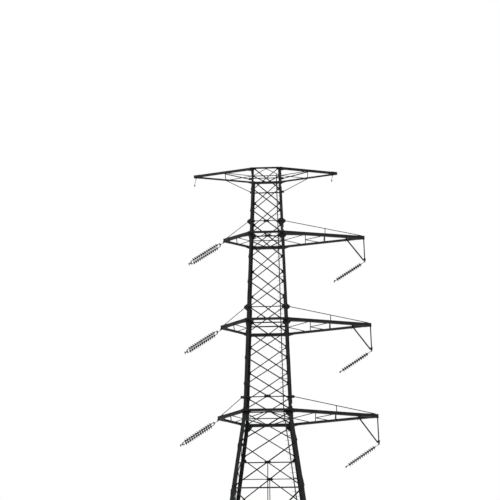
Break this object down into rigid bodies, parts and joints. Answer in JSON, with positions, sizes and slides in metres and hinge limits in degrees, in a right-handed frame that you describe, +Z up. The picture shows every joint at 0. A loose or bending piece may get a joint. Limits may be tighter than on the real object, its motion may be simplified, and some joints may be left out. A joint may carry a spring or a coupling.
{
  "type": "lattice transmission pylon",
  "caption": "Double-circuit lattice steel transmission tower with crossarms and hinged disc insulator strings that end in conductor clamps.",
  "frame": {"origin": "on the ground at the tower's centre line, in the plane of the base plates' undersides", "axes": "+Z up; X along the crossarms, the long arms towards +X; Y along the power line"},
  "size_m": [11.7688, 9.24, 39.33],
  "materials": {
    "galvanised_steel": "weathered hot-dip galvanising, dull grey",
    "hardware": "galvanised forged and cast fittings, dull",
    "porcelain": "brown glazed porcelain"
  },
  "bodies": {
    "tower": {"base_plates": "galvanised_steel", "lower_leg_front_left": "galvanised_steel", "lower_leg_front_right": "galvanised_steel", "lower_leg_rear_right": "galvanised_steel", "lower_leg_rear_left": "galvanised_steel", "upper_leg_front_left": "galvanised_steel", "upper_leg_front_right": "galvanised_steel", "upper_leg_rear_right": "galvanised_steel", "upper_leg_rear_left": "galvanised_steel", "base_bracing_front": "galvanised_steel", "base_bracing_right": "galvanised_steel", "base_bracing_rear": "galvanised_steel", "base_bracing_left": "galvanised_steel", "lower_bracing_front": "galvanised_steel", "lower_bracing_right": "galvanised_steel", "lower_bracing_rear": "galvanised_steel", "lower_bracing_left": "galvanised_steel", "cage_bracing_front": "galvanised_steel", "cage_bracing_right": "galvanised_steel", "cage_bracing_rear": "galvanised_steel", "cage_bracing_left": "galvanised_steel", "knee_diaphragm": "galvanised_steel", "climbing_rail": "galvanised_steel", "earth_crossarm": "galvanised_steel", "top_crossarm": "galvanised_steel", "middle_crossarm": "galvanised_steel", "bottom_crossarm": "galvanised_steel", "earth_arm_braces": "galvanised_steel", "top_arm_ties": "galvanised_steel", "middle_arm_ties": "galvanised_steel", "bottom_arm_ties": "galvanised_steel", "drop_brackets": "galvanised_steel"},
    "top_left_string": {"top_left_insulators": "porcelain", "top_left_clamp": "hardware"},
    "middle_left_string": {"middle_left_insulators": "porcelain", "middle_left_clamp": "hardware"},
    "bottom_left_string": {"bottom_left_insulators": "porcelain", "bottom_left_clamp": "hardware"},
    "top_right_string": {"top_right_insulators": "porcelain", "top_right_clamp": "hardware"},
    "middle_right_string": {"middle_right_insulators": "porcelain", "middle_right_clamp": "hardware"},
    "bottom_right_string": {"bottom_right_insulators": "porcelain", "bottom_right_clamp": "hardware"},
    "earth_clamp_left": {"earth_clamp_left": "hardware"},
    "earth_clamp_right": {"earth_clamp_right": "hardware"}
  },
  "joints": [
    {"name": "top_left_swing", "type": "hinge", "parent": "tower", "child": "top_left_string", "pos_m": [-2.77, 0, 34.305], "axis": [0, 1, 0], "range_deg": [-81, 14]},
    {"name": "middle_left_swing", "type": "hinge", "parent": "tower", "child": "middle_left_string", "pos_m": [-2.87, 0, 28.254], "axis": [0, 1, 0], "range_deg": [-81, 14]},
    {"name": "bottom_left_swing", "type": "hinge", "parent": "tower", "child": "bottom_left_string", "pos_m": [-2.98, 0, 22.405], "axis": [0, 1, 0], "range_deg": [-81, 14]},
    {"name": "top_right_swing", "type": "hinge", "parent": "tower", "child": "top_right_string", "pos_m": [6.19, 0, 32.73], "axis": [0, 1, 0], "range_deg": [-126, 14]},
    {"name": "middle_right_swing", "type": "hinge", "parent": "tower", "child": "middle_right_string", "pos_m": [6.33, 0, 26.679], "axis": [0, 1, 0], "range_deg": [-126, 14]},
    {"name": "bottom_right_swing", "type": "hinge", "parent": "tower", "child": "bottom_right_string", "pos_m": [6.47, 0, 20.83], "axis": [0, 1, 0], "range_deg": [-126, 14]},
    {"name": "earth_clamp_left_swing", "type": "hinge", "parent": "tower", "child": "earth_clamp_left", "pos_m": [-4.67, 0, 39.125], "axis": [0, 1, 0], "range_deg": [-68, 52]},
    {"name": "earth_clamp_right_swing", "type": "hinge", "parent": "tower", "child": "earth_clamp_right", "pos_m": [4.35, 0, 39.125], "axis": [0, 1, 0], "range_deg": [-68, 52]}
  ]
}
